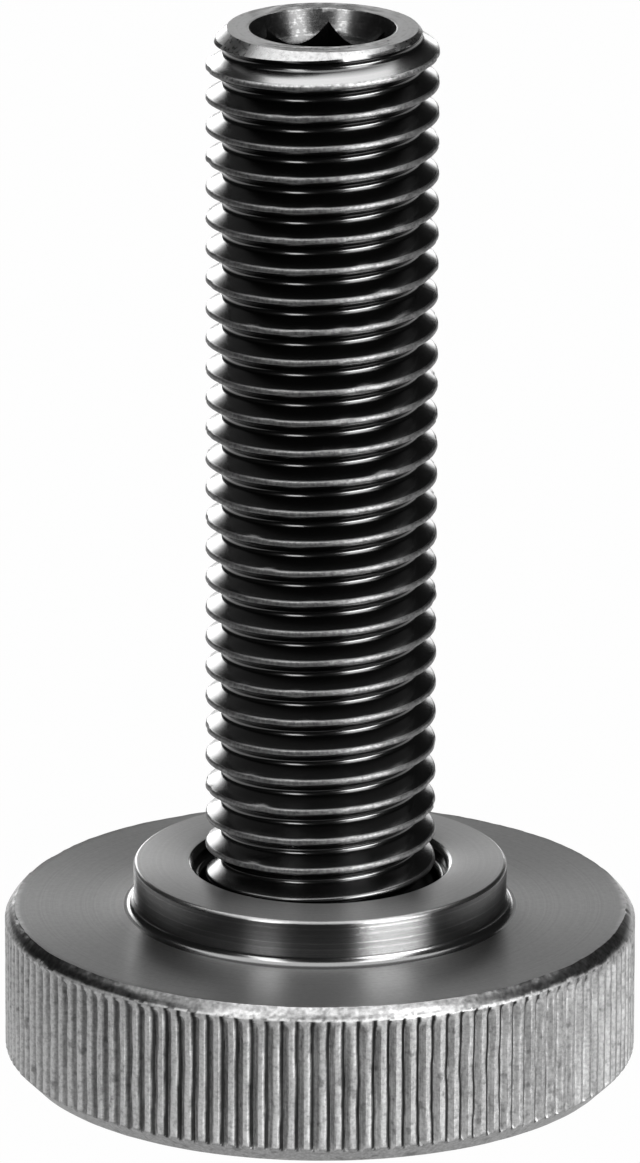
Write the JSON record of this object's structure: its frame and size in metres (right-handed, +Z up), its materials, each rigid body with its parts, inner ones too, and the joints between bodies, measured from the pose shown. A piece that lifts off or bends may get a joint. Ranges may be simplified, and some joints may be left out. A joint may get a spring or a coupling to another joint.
{
  "type": "support screw",
  "caption": "Upright threaded spindle with a hexagon socket in its top end, fixed in a broad straight-knurled round foot with a raised collar; adjusts the height of a clamp or fixture.",
  "frame": {"origin": "centre of the foot's underside, on the spindle's axis", "axes": "+Z up along the spindle's axis towards the socket; X and Y are free, with the picture taken from -Y"},
  "size_m": [0.0518, 0.0518, 0.088],
  "materials": {
    "blackened_steel": "black oxide, oiled, glossy",
    "turned_steel": "turned and lightly blackened faces, bare worn knurl"
  },
  "bodies": {
    "root": {"threaded_spindle": "blackened_steel", "knurled_foot": "turned_steel"}
  },
  "joints": []
}
